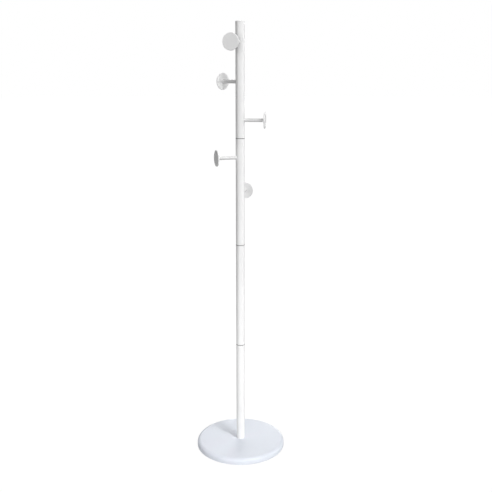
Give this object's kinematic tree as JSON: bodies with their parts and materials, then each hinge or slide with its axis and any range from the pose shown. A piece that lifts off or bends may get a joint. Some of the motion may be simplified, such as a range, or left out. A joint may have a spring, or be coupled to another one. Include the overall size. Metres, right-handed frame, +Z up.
{
  "type": "standing coat rack",
  "caption": "Free-standing coat rack with a slim round pole made of screwed tube sections on a round weighted base, and short round hooks with flat discs at staggered heights.",
  "frame": {"origin": "on the floor, under the middle of the base, on the pole's axis", "axes": "+Z up along the pole; seen from the front, -Y is towards the viewer and +X is to the right"},
  "size_m": [0.3599, 0.36, 1.7],
  "materials": {
    "white_paint": "smooth satin white powder coat on steel",
    "base_paint": "smooth satin cool white powder coat on steel",
    "cap_plastic": "smooth moulded white plastic",
    "insert_steel": "turned steel, zinc plated",
    "fastener_steel": "zinc plated steel",
    "cast_weight": "cast concrete, rough",
    "under_plate_plastic": "matt black plastic sheet",
    "foot_rubber": "soft dark grey rubber"
  },
  "bodies": {
    "root": {"base_cover": "base_paint", "base_weight": "cast_weight", "base_under_plate": "under_plate_plastic", "base_washer": "fastener_steel", "base_spring_washer": "fastener_steel", "base_bolt": "fastener_steel", "base_feet": "foot_rubber", "pole_section_1": "white_paint", "pole_section_2": "white_paint", "pole_section_3": "white_paint", "pole_section_4": "white_paint", "pole_foot_insert": "insert_steel", "joint_1_lower_insert": "insert_steel", "joint_1_upper_insert": "insert_steel", "joint_2_lower_insert": "insert_steel", "joint_2_upper_insert": "insert_steel", "joint_3_lower_insert": "insert_steel", "joint_3_upper_insert": "insert_steel", "joint_studs": "fastener_steel", "top_cap": "cap_plastic", "hook_1_stem": "white_paint", "hook_1_disc": "white_paint", "hook_2_stem": "white_paint", "hook_2_disc": "white_paint", "hook_3_stem": "white_paint", "hook_3_disc": "white_paint", "hook_4_stem": "white_paint", "hook_4_disc": "white_paint", "hook_5_stem": "white_paint", "hook_5_disc": "white_paint", "hook_studs": "fastener_steel", "hook_rivet_nuts": "fastener_steel"}
  },
  "joints": []
}
